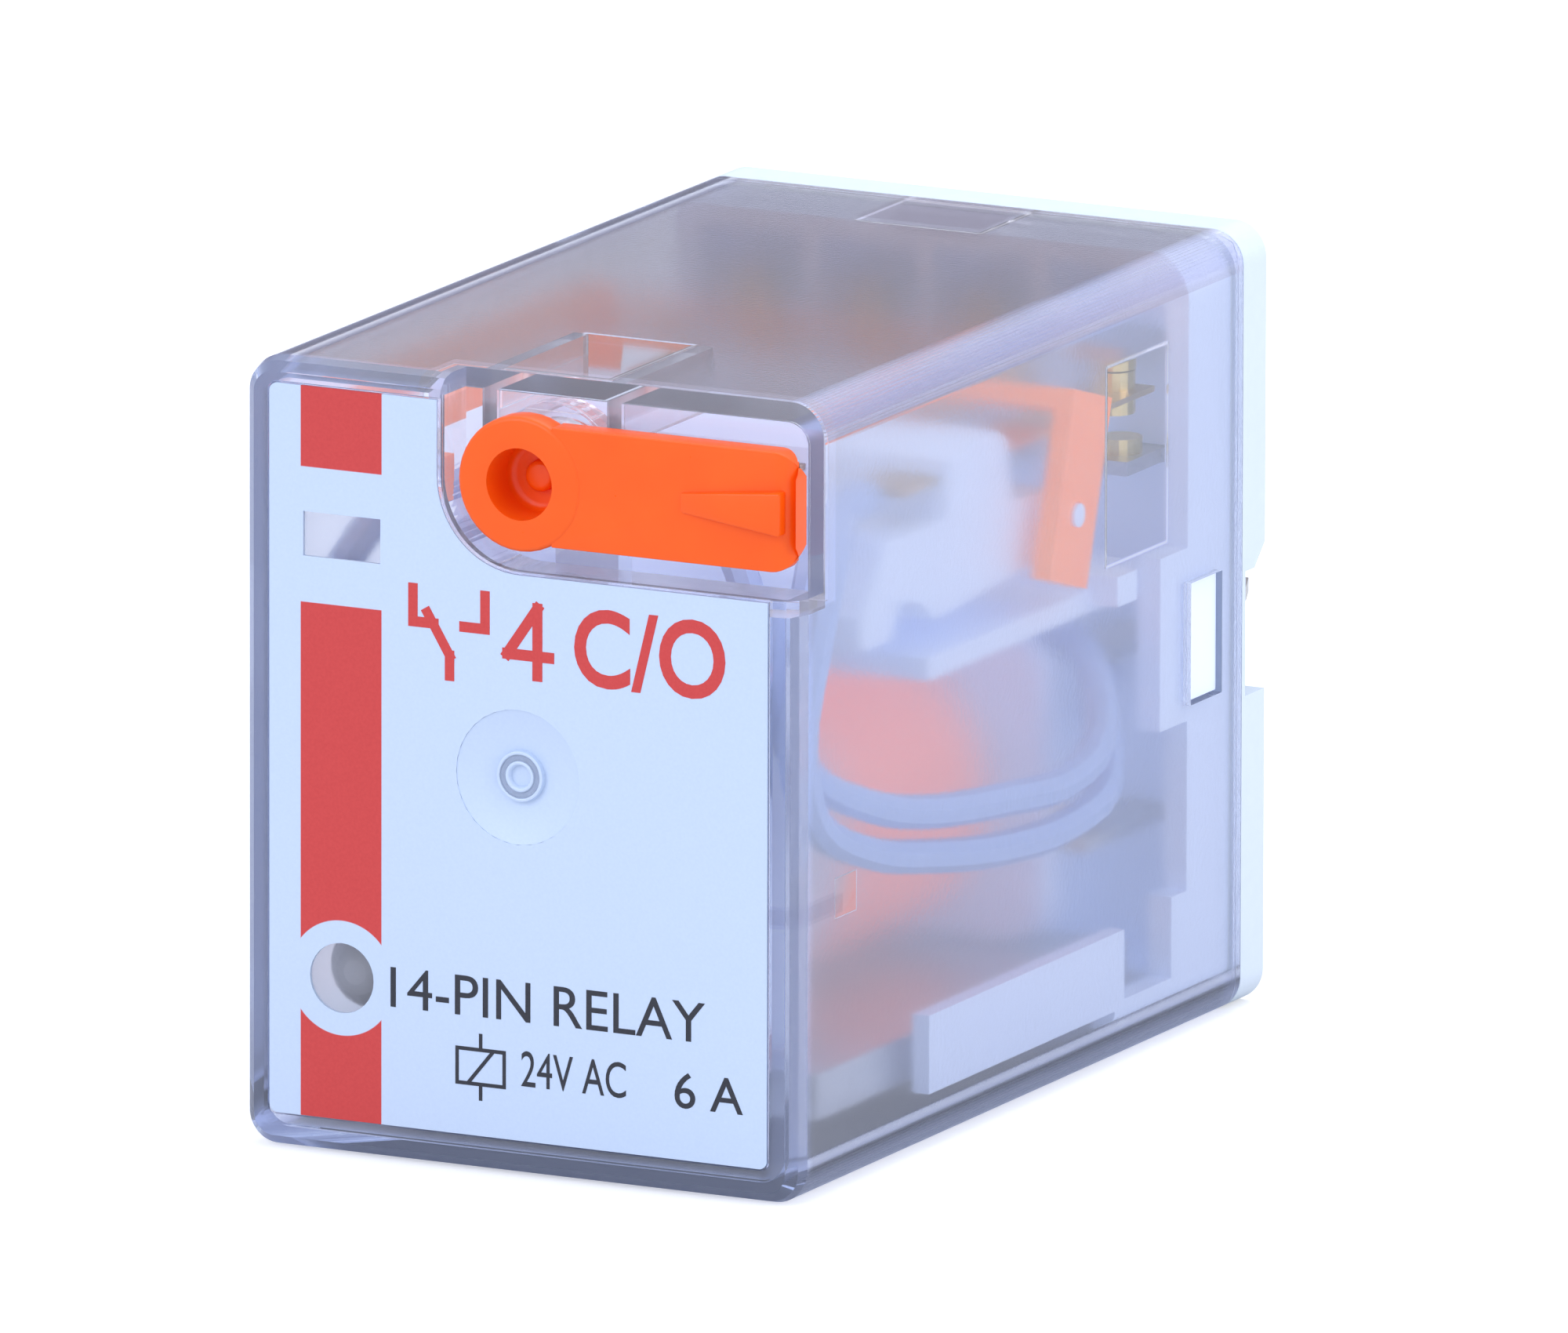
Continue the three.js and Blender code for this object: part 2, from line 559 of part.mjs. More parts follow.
const windingFront = COIL_FRONT + BOBBIN_FLANGE + TOUCH;
const windingBack = COIL_BACK - BOBBIN_FLANGE - TOUCH;
const winding = cut(
  toSolid(cylinderAlongY(WINDING_RADIUS, windingFront, windingBack, 0, COIL_Z, 48)),
  cylinderAlongY(BOBBIN_TUBE_RADIUS + TOUCH, windingFront - 1, windingBack + 1, 0, COIL_Z, 32),
);
addPiece('coil_winding', winding, TAPE);

const armatureFront = HINGE_Y - ARMATURE_THICKNESS;
const armature = join(
  box(
    -ARMATURE_HALF_WIDTH, ARMATURE_HALF_WIDTH, armatureFront, HINGE_Y, HINGE_Z - 0.4, ARMATURE_LEG.top,
  ),
  box(
    -ARMATURE_HALF_WIDTH, ARMATURE_HALF_WIDTH, armatureFront, ARMATURE_LEG.back,
    ARMATURE_LEG.bottom, ARMATURE_LEG.top,
  ),
);
addPiece('armature', armature, STEEL);

const leafTop = YOKE_BOTTOM - SLIP;
const leafFront = armatureFront - 2 * LEAF_THICKNESS;
const leaf = extrudeAlongX(polygon([
  [leafFront, leafTop - LEAF_THICKNESS],
  [leafFront + LEAF_LENGTH, leafTop - LEAF_THICKNESS],
  [leafFront + LEAF_LENGTH, leafTop],
  [leafFront + LEAF_THICKNESS, leafTop],
  [leafFront + LEAF_THICKNESS, leafTop + LEAF_RISE],
  [leafFront, leafTop + LEAF_RISE],
]), -LEAF_HALF_WIDTH, LEAF_HALF_WIDTH);
addPiece('armature_spring', leaf, BRONZE);

const plate = join(
  box(
    -PLATE.halfWidth, PLATE.halfWidth, ARMATURE_LEG.back + 0.6, TRAY_FRONT - SLIP,
    PLATE.bottom, PLATE.bottom + PLATE.thickness,
  ),
  box(
    -PLATE.earHalfWidth, PLATE.earHalfWidth, PLATE.earBack - PLATE.earLength, PLATE.earBack,
    PLATE.bottom + 0.3, PLATE.bottom + PLATE.earTop,
  ),
);
addPiece('insulating_plate', plate, WHITE);

// ---- contact carrier ----
function makeCarrier() {
  const bottom = ARMATURE_LEG.top + TOUCH;
  const deck = SPRING_Z - 1.25;
  const crown = SPRING_Z + 1.05;
  const foot = HINGE_Y + 4.2;
  const tail = PIVOT_Y + 0.5;
  const side = polygon([
    [foot, bottom],
    [foot + 2.3, bottom],
    [foot + 3.0, bottom + 1.15],
    [foot + 4.4, bottom + 0.95],
    [foot + 5.6, bottom + 0.05],
    [tail - 0.1, bottom + 0.65],
    [tail, deck - 0.5],
    [tail - 2.9, deck - 0.4],
    [tail - 3.2, crown - 0.5],
    [tail - 4.0, crown],
    [tail - 5.3, crown],
    [tail - 7.6, crown - 0.4],
    [tail - 8.0, deck],
    [foot + 2.0, deck],
    [foot, bottom + 1.15],
  ]);
  const tabFront = PLUNGER_END + SLIP;
  const pegEnd = FRAME_OUTER + SLIP;
  const body = join(
    extrudeAlongX(side, -CARRIER_HALF_WIDTH, CARRIER_HALF_WIDTH),
    box(-2.0, 2.0, tabFront, foot + 0.9, bottom, bottom + 1.15),
    box(-1.2, 1.2, tabFront, tabFront + 1.0, bottom, LEVER_Z + 1.2),
    cylinderAlongX(PEG_RADIUS, -pegEnd, pegEnd, PIVOT_Y, PIVOT_Z),
  );
  const halfSlot = SPRING_WIDTH / 2 + TOUCH;
  const slotBottom = SPRING_Z - SPRING_THICKNESS / 2 - SLOT_CLEARANCE;
  const slotTop = SPRING_Z + SPRING_THICKNESS / 2 + SLOT_CLEARANCE;
  const slots = poleX.map((x) => box(x - halfSlot, x + halfSlot, foot, tail + 1, slotBottom, slotTop));
  return cut(body, ...slots);
}
addPiece('contact_carrier', makeCarrier(), WHITE);

// ---- indicator frame ----
function makeIndicator() {
  const leaning = (rise, across) => [
    PIVOT_Y + rise * Math.sin(FRAME_LEAN) + across * Math.cos(FRAME_LEAN),
    PIVOT_Z + rise * Math.cos(FRAME_LEAN) - across * Math.sin(FRAME_LEAN),
  ];
  const leaningBar = (bottom, top) => polygon([
    leaning(bottom, -FRAME_HALF_LEG),
    leaning(bottom, FRAME_HALF_LEG),
    leaning(top, FRAME_HALF_LEG),
    leaning(top, -FRAME_HALF_LEG),
  ]);
  const leg = leaningBar(-FRAME_LEG_DROP, FRAME_BAR.top);
  const armBottom = PIVOT_Z + FRAME_ARM.rise;
  const armTop = armBottom + FRAME_ARM.height;
  const flagBack = FRAME_ARM.front + FRAME_ARM.flagThickness;
  const flagRight = LEVER_X - RECESS_RADIUS - RECESS_WALL - 0.3;
  return cut(
    join(
      extrudeAlongX(leg, FRAME_INNER, FRAME_OUTER),
      extrudeAlongX(leg, -FRAME_OUTER, -FRAME_INNER),
      extrudeAlongX(leaningBar(FRAME_BAR.bottom, FRAME_BAR.top), -FRAME_OUTER, FRAME_OUTER),
      box(-FRAME_OUTER, FRAME_ARM.width - FRAME_OUTER, FRAME_ARM.front, PIVOT_Y + 1.0, armBottom, armTop),
      box(-FRAME_OUTER, flagRight, FRAME_ARM.front, flagBack, armBottom, armTop),
      box(
        FLAG_WINDOW.left - 0.2, flagRight, FRAME_ARM.front, flagBack,
        FLAG_WINDOW.top + 0.35, armBottom + FRAME_ARM.height / 2,
      ),
    ),
    cylinderAlongX(PEG_HOLE_RADIUS, -FRAME_OUTER - 1, -FRAME_INNER + 0.2, PIVOT_Y, PIVOT_Z),
    cylinderAlongX(PEG_HOLE_RADIUS, FRAME_INNER - 0.2, FRAME_OUTER + 1, PIVOT_Y, PIVOT_Z),
  );
}
addPiece('indicator', makeIndicator(), ORANGE);

// ---- terminals and contacts ----
function makeBlade(x, z, innerEnd) {
  const tipY = BODY_DEPTH + PIN_LENGTH;
  const half = BLADE_WIDTH / 2;
  const innerHalf = BLADE_INNER_WIDTH / 2;
  const outline = polygon([
    [x - innerHalf, innerEnd],
    [x + innerHalf, innerEnd],
    [x + innerHalf, TRAY_FLOOR - 0.4],
    [x + half, TRAY_FLOOR],
    [x + half, tipY - BLADE_TAPER],
    [x + BLADE_TIP_WIDTH / 2, tipY],
    [x - BLADE_TIP_WIDTH / 2, tipY],
    [x - half, tipY - BLADE_TAPER],
    [x - half, TRAY_FLOOR],
    [x - innerHalf, TRAY_FLOOR - 0.4],
  ]);
  const blade = new THREE.ExtrudeGeometry(outline, { depth: BLADE_THICKNESS, bevelEnabled: false });
  return blade.translate(0, 0, z - BLADE_THICKNESS / 2);
}

const halfBlade = BLADE_THICKNESS / 2;
const springBottom = SPRING_Z - SPRING_THICKNESS / 2;
const springTop = SPRING_Z + SPRING_THICKNESS / 2;

function makeMovingSpring(x) {
  const half = SPRING_WIDTH / 2;
  const strip = box(x - half, x + half, SPRING_ROOT, SPRING_TIP, springBottom, springTop);
  const holeRadius = RIVET_SHANK_RADIUS + 0.4 * TOUCH;
  const hole = cylinderAlongZ(holeRadius, springBottom - 1, springTop + 1, x, MOVING_RIVET_Y);
  return cut(toSolid(strip), hole);
}

function makeMovingContact(x) {
  const rivet = (radius, z0, z1) => cylinderAlongZ(radius, z0, z1, x, MOVING_RIVET_Y);
  return join(
    rivet(RIVET_RADIUS, springTop, springTop + MOVING_RIVET_HEIGHT),
    rivet(RIVET_RADIUS, springBottom - MOVING_RIVET_HEIGHT, springBottom),
    rivet(RIVET_SHANK_RADIUS, springBottom - SLIP, springTop + SLIP),
  );
}

poleX.forEach((x, index) => {
  const pole = index + 1;
  const ncFace = NC_ROW - halfBlade;
  const noFace = NO_ROW + halfBlade;
  const ncY = MOVING_RIVET_Y + TOUCH;
  const noY = MOVING_RIVET_Y + CONTACT_WIPE;
  const ncRivet = cylinderAlongZ(RIVET_RADIUS, ncFace - FIXED_RIVET_HEIGHT, ncFace, x, ncY);
  const noRivet = cylinderAlongZ(RIVET_RADIUS, noFace, noFace + FIXED_RIVET_HEIGHT, x, noY);
  addPiece(`moving_spring_${pole}`, makeMovingSpring(x), BRONZE);
  addPiece(`moving_contact_${pole}`, makeMovingContact(x), GOLD);
  addPiece(`nc_terminal_${pole}`, makeBlade(x, NC_ROW, NC_INNER_END), BRASS);
  addPiece(`no_terminal_${pole}`, makeBlade(x, NO_ROW, NO_INNER_END), BRASS);
  addPiece(`com_terminal_${pole}`, makeBlade(x, COM_ROW, COM_INNER_END), BRASS);
  addPiece(`nc_contact_${pole}`, ncRivet, GOLD);
  addPiece(`no_contact_${pole}`, noRivet, GOLD);
});

['left', 'right'].forEach((side, index) => {
  const x = coilX[index];
  const out = Math.sign(x);
  addPiece(`coil_terminal_${side}`, makeBlade(x, COIL_ROW, COIL_INNER_END), BRASS);
  const leadTop = COIL_ROW + halfBlade + COIL_LEAD_RADIUS + TOUCH;
  addPiece(`coil_lead_${side}`, tube([
    [x - out * 0.8, COIL_BACK + 0.3, leadTop + 3.6],
    [x - out * 0.6, COIL_BACK + 0.6, leadTop + 2.2],
    [x - out * 0.3, COIL_BACK + 1.0, leadTop + 0.3],
    [x, COIL_BACK + 1.8, leadTop],
    [x, COIL_BACK + 2.6, leadTop],
  ], COIL_LEAD_RADIUS, 12), COPPER);
});

// ---- pigtails: from each spring's root, forward and down, then back along the side wall ----
const sideX = halfWidth - WALL - PIGTAIL_RADIUS - 0.25;
const solderLift = halfBlade + PIGTAIL_RADIUS + 0.1;
const start = SPRING_ROOT - 0.5;
poleX.forEach((x, index) => {
  const out = Math.sign(x);
  const outerPole = [
    [x, start, SPRING_Z],
    [x + out * 0.3, start - 2.5, SPRING_Z - 0.15],
    [out * (sideX - 0.65), start - 5.9, SPRING_Z - 1.15],
    [out * sideX, start - 8.3, SPRING_Z - 3.55],
    [out * sideX, start - 9.3, SPRING_Z - 6.55],
    [out * sideX, start - 8.3, SPRING_Z - 9.45],
    [out * sideX, start - 4.5, SPRING_Z - 11.3],
    [out * sideX, start, SPRING_Z - 12.35],
    [out * sideX, COM_INNER_END - 10.9, COM_ROW - 4.45],
    [out * sideX, COM_INNER_END - 6.4, COM_ROW - 4.65],
    [out * sideX, COM_INNER_END - 3.3, COM_ROW - 4.1],
    [out * (sideX - 0.6), COM_INNER_END - 1.7, COM_ROW - 3.1],
    [x + out * 0.6, COM_INNER_END - 0.4, COM_ROW - solderLift - 0.3],
    [x, COM_INNER_END + 1.4, COM_ROW - solderLift],
  ];
  const innerPole = [
    [x, start, SPRING_Z],
    [x + out * 0.4, start - 2.5, SPRING_Z - 0.05],
    [x + out * 2.4, start - 4.7, SPRING_Z - 1.15],
    [x + out * 4.4, start - 6.9, SPRING_Z - 2.95],
    [out * (sideX - 1.45), start - 8.3, SPRING_Z - 5.35],
    [out * (sideX - 0.65), start - 7.7, SPRING_Z - 7.95],
    [out * sideX, start - 4.5, SPRING_Z - 9.65],
    [out * sideX, start, SPRING_Z - 10.8],
    [out * sideX, COM_INNER_END - 10.9, COM_ROW - 2.75],
    [out * sideX, COM_INNER_END - 6.4, COM_ROW - 3.1],
    [out * sideX, COM_INNER_END - 3.9, COM_ROW - 2.5],
    [out * (sideX - 0.45), COM_INNER_END - 2.5, COM_ROW - 1.3],
    [out * (sideX - 1.95), COM_INNER_END - 1.3, COM_ROW + 0.55],
    [x + out * 1.8, COM_INNER_END - 0.4, COM_ROW + solderLift + 0.1],
    [x, COM_INNER_END + 1.4, COM_ROW + solderLift],
  ];
  const route = Math.abs(x) > POLE_PITCH ? outerPole : innerPole;
  addPiece(`pigtail_${index + 1}`, tube(route, PIGTAIL_RADIUS, 44), WIRE);
});

// ---- light behind the round window ----
const domeY = FRONT_WALL + LED_RADIUS + 0.3;
const ledBack = domeY + 2.3;
const led = join(
  new THREE.SphereGeometry(LED_RADIUS, 20, 10).translate(LED_X, domeY, LED_Z),
  cylinderAlongY(LED_RADIUS, domeY - 0.4, ledBack - 0.3, LED_X, LED_Z),
  cylinderAlongY(LED_RADIUS + FIT, ledBack - 0.7, ledBack, LED_X, LED_Z),
);
addPiece('led', led, DIODE);
const boardFront = ledBack + 0.3;
const board = box(LED_X - 1.75, LED_X + 1.45, boardFront, boardFront + 0.6, LED_Z - 2.2, LED_Z + 3.2);
addPiece('led_board', board, BOARD);

const front = -GRIP_HEIGHT;
const back = BODY_DEPTH + PIN_LENGTH;
relay.position.y = -(front + back) / 2;

export default relay;
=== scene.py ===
import math

import bpy
from mathutils import Matrix, Vector


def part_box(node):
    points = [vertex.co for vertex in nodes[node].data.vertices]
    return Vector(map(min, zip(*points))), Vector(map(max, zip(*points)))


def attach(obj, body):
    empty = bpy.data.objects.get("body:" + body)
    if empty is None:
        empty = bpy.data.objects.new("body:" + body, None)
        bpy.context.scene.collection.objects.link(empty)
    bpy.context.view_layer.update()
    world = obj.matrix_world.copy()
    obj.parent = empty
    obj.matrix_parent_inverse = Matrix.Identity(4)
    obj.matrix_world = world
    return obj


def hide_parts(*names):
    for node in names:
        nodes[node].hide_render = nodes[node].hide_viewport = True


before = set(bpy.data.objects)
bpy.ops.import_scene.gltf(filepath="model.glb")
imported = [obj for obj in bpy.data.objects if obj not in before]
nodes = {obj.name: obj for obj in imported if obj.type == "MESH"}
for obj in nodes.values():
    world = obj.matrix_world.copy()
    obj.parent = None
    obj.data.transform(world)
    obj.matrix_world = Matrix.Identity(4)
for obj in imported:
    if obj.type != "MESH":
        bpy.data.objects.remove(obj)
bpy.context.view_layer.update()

# Camera. A long lens seen from the relay's right and a little above, so that parallel
# edges stay parallel, aimed between the front label and the moulded base.
MM = 0.001
LENS_REACH = 1500 * MM
AZIMUTH, ELEVATION, ROLL = math.radians(26.99), math.radians(12.58), math.radians(0.138)
FRAME_WIDTH = 2000 / 37.25 * MM

bpy.ops.object.select_all(action="DESELECT")
away = Vector((
    math.sin(AZIMUTH) * math.cos(ELEVATION),
    -math.cos(AZIMUTH) * math.cos(ELEVATION),
    math.sin(ELEVATION),
))
across = Vector((math.cos(AZIMUTH), math.sin(AZIMUTH), 0))
upward = away.cross(across)
aim = Vector((0, -2.525, 13.75)) * MM + across * 0.949 * MM + upward * 0.51 * MM
bpy.ops.object.camera_add(location=aim + away * LENS_REACH)
camera = bpy.context.object
camera.name = "camera"
level = away.to_track_quat("Z", "Y")
camera.rotation_euler = (level @ Matrix.Rotation(ROLL, 3, "Z").to_quaternion()).to_euler()
camera.data.sensor_width = 36
camera.data.lens = 36 * LENS_REACH / FRAME_WIDTH
camera.data.clip_end = 10
bpy.context.scene.camera = camera

# Studio. A pale table top that fades to white, a wide soft light over the front
# left, weaker ones at the right, above and behind, and a white room round them.
TABLE_HALF = 2.5
ROOM_LIGHT = 1.1
RELAY_MIDDLE = Vector((0, 0, 0.014))
bpy.context.scene.view_settings.view_transform = "Standard"


class Tone:
    """A value, colour or vector that changes over a surface, as one socket in a material."""

    def __init__(self, tree, socket):
        self.tree = tree
        self.socket = socket

    def node(self, kind, settings, values, result=0):
        """Adds a node, its settings first and its sockets next, and gives a result."""
        made = self.tree.nodes.new("ShaderNode" + kind)
        for name, setting in settings.items():
            if name == "stops":
                ramp = made.color_ramp
                while len(ramp.elements) < len(setting):
                    ramp.elements.new(0.5)
                for element, (place, colour) in zip(ramp.elements, setting):
                    element.position = place
                    element.color = (*colour, 1)
            else:
                setattr(made, name, setting)
        for name, value in values.items():
            if isinstance(value, Tone):
                self.tree.links.new(value.socket, made.inputs[name])
            else:
                made.inputs[name].default_value = value
        return Tone(self.tree, made.outputs[result])

    def sum_of(self, operation, first, second):
        return self.node("Math", {"operation": operation}, {0: first, 1: second})

    def __add__(self, other):
        return self.sum_of("ADD", self, other)

    def __radd__(self, other):
        return self.sum_of("ADD", other, self)

    def __sub__(self, other):
        return self.sum_of("SUBTRACT", self, other)

    def __rsub__(self, other):
        return self.sum_of("SUBTRACT", other, self)

    def __mul__(self, other):
        return self.sum_of("MULTIPLY", self, other)

    def __rmul__(self, other):
        return self.sum_of("MULTIPLY", other, self)

    def size(self):
        return self.sum_of("ABSOLUTE", self, 0.0)

    def past(self, edge, soft=0.02):
        """1 where this is past the edge and 0 before it."""
        return self.node(
            "MapRange",
            {"interpolation_type": "SMOOTHSTEP"},
            {"Value": self, "From Min": edge - soft, "From Max": edge + soft},
        )

    def between(self, low, high, soft=0.02):
        return self.past(low, soft) * (1 - self.past(high, soft))

    def blend(self, dark, light):
        """Goes from one colour to another as this goes from 0 to 1."""
        colours = [c if isinstance(c, Tone) else (*c, 1) for c in (dark, light)]
        return self.node("Mix", {"data_type": "RGBA"}, {0: self, 6: colours[0], 7: colours[1]}, 2)

    def noise(self, scale, detail=2.0, roughness=0.5):
        """Even random blotches, about 1/scale millimetres wide."""
        return self.node(
            "TexNoise", {}, {0: self, "Scale": scale, "Detail": detail, "Roughness": roughness}
        )


class Finish:
    """One material: its shader, and the surface's own place in millimetres."""

    def __init__(self, name, **constants):
        self.material = bpy.data.materials.new(name)
        self.material.use_nodes = True
        tree = self.material.node_tree
        self.shader = tree.nodes["Principled BSDF"]
        for socket, value in constants.items():
            self.set(socket.replace("_", " "), value)
        metres = Tone(tree, tree.nodes.new("ShaderNodeTexCoord").outputs["Object"])
        self.place = metres.node("VectorMath", {"operation": "SCALE"}, {0: metres, "Scale": 1000.0})
        self.x = metres.node("SeparateXYZ", {}, {0: self.place}, 0)
        self.y = metres.node("SeparateXYZ", {}, {0: self.place}, 1)
        self.z = metres.node("SeparateXYZ", {}, {0: self.place}, 2)

    def set(self, socket, value):
        if isinstance(value, Tone):
            self.material.node_tree.links.new(value.socket, self.shader.inputs[socket])
        elif isinstance(value, tuple):
            self.shader.inputs[socket].default_value = (*value, 1)
        else:
            self.shader.inputs[socket].default_value = value

    def bump(self, height, depth, strength=1.0):
        """Raises the surface by depth millimetres where height is 1."""
        values = {"Strength": strength, "Distance": depth * MM, "Height": height}
        self.set("Normal", height.node("Bump", {}, values))

    def put_on(self, *names):
        for name in names:
            piece = nodes[name] if name in nodes else bpy.data.objects[name]
            piece.data.materials.clear()
            piece.data.materials.append(self.material)


bpy.ops.mesh.primitive_plane_add(size=2 * TABLE_HALF, location=(0, 0, 0))
table = bpy.context.object
table.name = "table_top"
paper = Finish("table_paper", Roughness=0.9, Emission_Strength=0.45)
paper.set("Base Color", paper.place.noise(0.02).blend((0.64, 0.64, 0.65), (0.68, 0.68, 0.68)))
seen = paper.x.node("LightPath", {}, {}, 0)
paper.set("Emission Color", seen.blend((0.0, 0.0, 0.0), (1.0, 1.0, 1.0)))
paper.put_on("table_top")

room = bpy.data.worlds.new("white_room")
bpy.context.scene.world = room
room.use_nodes = True
sky = Tone(room.node_tree, room.node_tree.nodes.new("ShaderNodeTexCoord").outputs["Generated"])
behind = sky.node("SeparateXYZ", {}, {0: sky}, 1).past(0.35, 0.4)
low_down = 1 - sky.node("SeparateXYZ", {}, {0: sky}, 2).past(0.45, 0.25)
walls = (behind * low_down).blend((0.80, 0.86, 1.0), (0.30, 0.28, 0.32))
backdrop = sky.node("LightPath", {}, {}, 0).blend(walls, (1.0, 1.0, 1.0))
room.node_tree.links.new(backdrop.socket, room.node_tree.nodes["Background"].inputs["Color"])
room.node_tree.nodes["Background"].inputs["Strength"].default_value = ROOM_LIGHT

for name, place, width, height, power, tint in (
    ("soft_light_front", (-0.35, -0.75, 0.55), 0.7, 0.6, 3.0, (0.94, 0.96, 1.0)),
    ("soft_light_right", (0.85, -0.1, 0.35), 0.5, 0.5, 1.8, (0.94, 0.96, 1.0)),
    ("soft_light_top", (0.1, 0.25, 0.9), 0.8, 0.8, 3.5, (0.94, 0.96, 1.0)),
    ("soft_light_back", (0.75, 0.75, 0.35), 0.5, 0.4, 1.2, (0.97, 0.98, 1.0)),
):
    bpy.ops.object.light_add(type="AREA", location=place)
    lamp = bpy.context.object
    lamp.name = name
    lamp.data.shape = "RECTANGLE"
    lamp.data.size, lamp.data.size_y = width, height
    lamp.data.energy = power
    lamp.data.color = tint
    lamp.rotation_euler = (RELAY_MIDDLE - Vector(place)).to_track_quat("-Z", "Y").to_euler()

# Moulded base. One white glass-filled nylon moulding with a plug-in flange, a latch
# block on each side and fourteen slots, which the terminals are pressed into. The
# parts shut in the cover are painted a lighter white and glow faintly: painted light for the light
# that its frost scatters on them.
COVER_BACK = 13.4
white = Finish("white_nylon", Roughness=0.42, IOR=1.5, Emission_Strength=1.0)
speckle = white.place.noise(2.2, 4.0, 0.6)
shut_in = 1 - white.y.past(COVER_BACK, 0.05)
open_white = speckle.blend((0.68, 0.76, 0.85), (0.73, 0.81, 0.89))
# Parts shut in the cover get a lighter base colour here and a faint glow below, both painted light.
white.set("Base Color", shut_in.blend(open_white, (0.84, 0.90, 1.0)))
white.set("Emission Color", shut_in.blend((0.0, 0.0, 0.0), (0.045, 0.065, 0.13)))
white.set("Roughness", speckle * 0.2 + 0.32)
white.bump(white.place.noise(6.0, 3.0), 0.01, 0.5)
white.put_on("base", "contact_carrier", "insulating_plate", "bobbin")

# Terminals. Fourteen blades stamped from nickel-plated brass strip, pressed into
# the base, with the contact rivets and the coil leads on their inner ends.
plated = Finish("nickel_plate", Metallic=1.0, Roughness=0.3)
grain = plated.place.node("Mapping", {}, {0: plated.place, "Scale": (30.0, 2.0, 6.0)})
brushed = grain.noise(1.0, 3.0)
plated.set("Base Color", brushed.blend((0.50, 0.49, 0.48), (0.74, 0.72, 0.69)))
plated.set("Roughness", brushed * 0.25 + 0.2)
plated.bump(brushed, 0.01, 0.4)
plated.put_on(*(f"{row}_terminal_{pole}" for row in ("nc", "no", "com") for pole in range(1, 5)))
plated.put_on("coil_terminal_left", "coil_terminal_right")

# Contacts and springs. Tin-bronze leaf springs held by small rivets, with
# gold-flashed silver buttons at their free ends and on the fixed terminals.
gold = Finish("gold_flash", Metallic=1.0, Roughness=0.3)
worn = gold.place.noise(4.0, 2.0)
gold.set("Base Color", worn.blend((0.72, 0.52, 0.18), (0.95, 0.76, 0.36)))
gold.put_on(*(f"{kind}_contact_{pole}" for kind in ("moving", "nc", "no") for pole in range(1, 5)))
bronze = Finish("spring_bronze", Metallic=1.0, Roughness=0.35)
rolled = bronze.place.noise(3.0, 3.0)
bronze.set("Base Color", rolled.blend((0.62, 0.42, 0.22), (0.78, 0.58, 0.34)))
bronze.set("Roughness", rolled * 0.2 + 0.25)
bronze.put_on("armature_spring", *(f"moving_spring_{pole}" for pole in range(1, 5)))

# Magnet. A bent soft-iron yoke, a turned core with a copper shading ring let into
# its pole face, and the flat armature, all zinc plated.
iron = Finish("zinc_plate", Metallic=1.0, Roughness=0.4)
crystals = iron.place.noise(1.5, 4.0, 0.6)
iron.set("Base Color", crystals.blend((0.5, 0.52, 0.56), (0.78, 0.8, 0.84)))
iron.set("Roughness", crystals * 0.3 + 0.25)
iron.put_on("yoke", "core", "armature")
copper = Finish("bare_copper", Metallic=1.0, Roughness=0.35)
copper.set("Base Color", copper.place.noise(3.0).blend((0.66, 0.28, 0.14), (0.9, 0.5, 0.3)))
copper.put_on("shading_ring", "coil_lead_left", "coil_lead_right")

# Coil. Enamelled wire on the bobbin under two turns of orange polyester tape. Both ends
# of the winding and its lowest edge are painted grey, painted shade, and the orange middle band
# glows, a painted highlight.
low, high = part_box("coil_winding")
coil_length = (high.y - low.y) / MM
tape = Finish("coil_tape", Roughness=0.35, Emission_Strength=0.3)
turns = tape.y * 9.0
windings = tape.place.noise(1.2, 3.0)
along = tape.y - low.y / MM
# Orange only in a middle band above the lowest edge; the ends and the bottom are painted shade in
# grey.
lit_band = along.between(0.36 * coil_length, 0.92 * coil_length, 1.5)
lit_band = lit_band * tape.z.past(low.z / MM + 0.4, 1.0)
painted_shade_grey = windings.blend((0.60, 0.56, 0.62), (0.70, 0.65, 0.70))
tape.set("Base Color", lit_band.blend(painted_shade_grey, windings.blend((0.98, 0.20, 0.12), (1.0, 0.27, 0.17))))
# The orange band glows and the grey ends glow dimly: painted light, since the tape is no lamp.
lit_tape = windings.blend((1.0, 0.25, 0.2), (1.0, 0.36, 0.3))
tape.set("Emission Color", lit_band.blend((0.16, 0.15, 0.21), lit_tape))
tape.bump(turns.node("Math", {"operation": "SINE"}, {0: turns}), 0.02, 0.5)
tape.put_on("coil_winding")

# Pigtails. Four stranded wires in a grey-blue jacket, which bring the common
# terminals forward past the coil.
jacket = Finish("wire_jacket", Roughness=0.5)
jacket.set("Base Color", jacket.place.noise(3.0).blend((0.42, 0.55, 0.86), (0.50, 0.63, 0.94)))
jacket.put_on(*(f"pigtail_{pole}" for pole in range(1, 5)))

# Indicator lamp. A clear lens over a chip, soldered to a small green board.
lens = Finish("lamp_lens", Roughness=0.5)
# The clear lens is painted an even grey, painted shade for the dim inside behind the lamp window.
lens.set("Base Color", lens.place.noise(4.0).blend((0.44, 0.43, 0.47), (0.50, 0.49, 0.53)))
lens.put_on("led")
board = Finish("board_green", Roughness=0.5)
board.set("Base Color", board.place.noise(2.0).blend((0.05, 0.16, 0.10), (0.08, 0.22, 0.14)))
board.put_on("led_board")
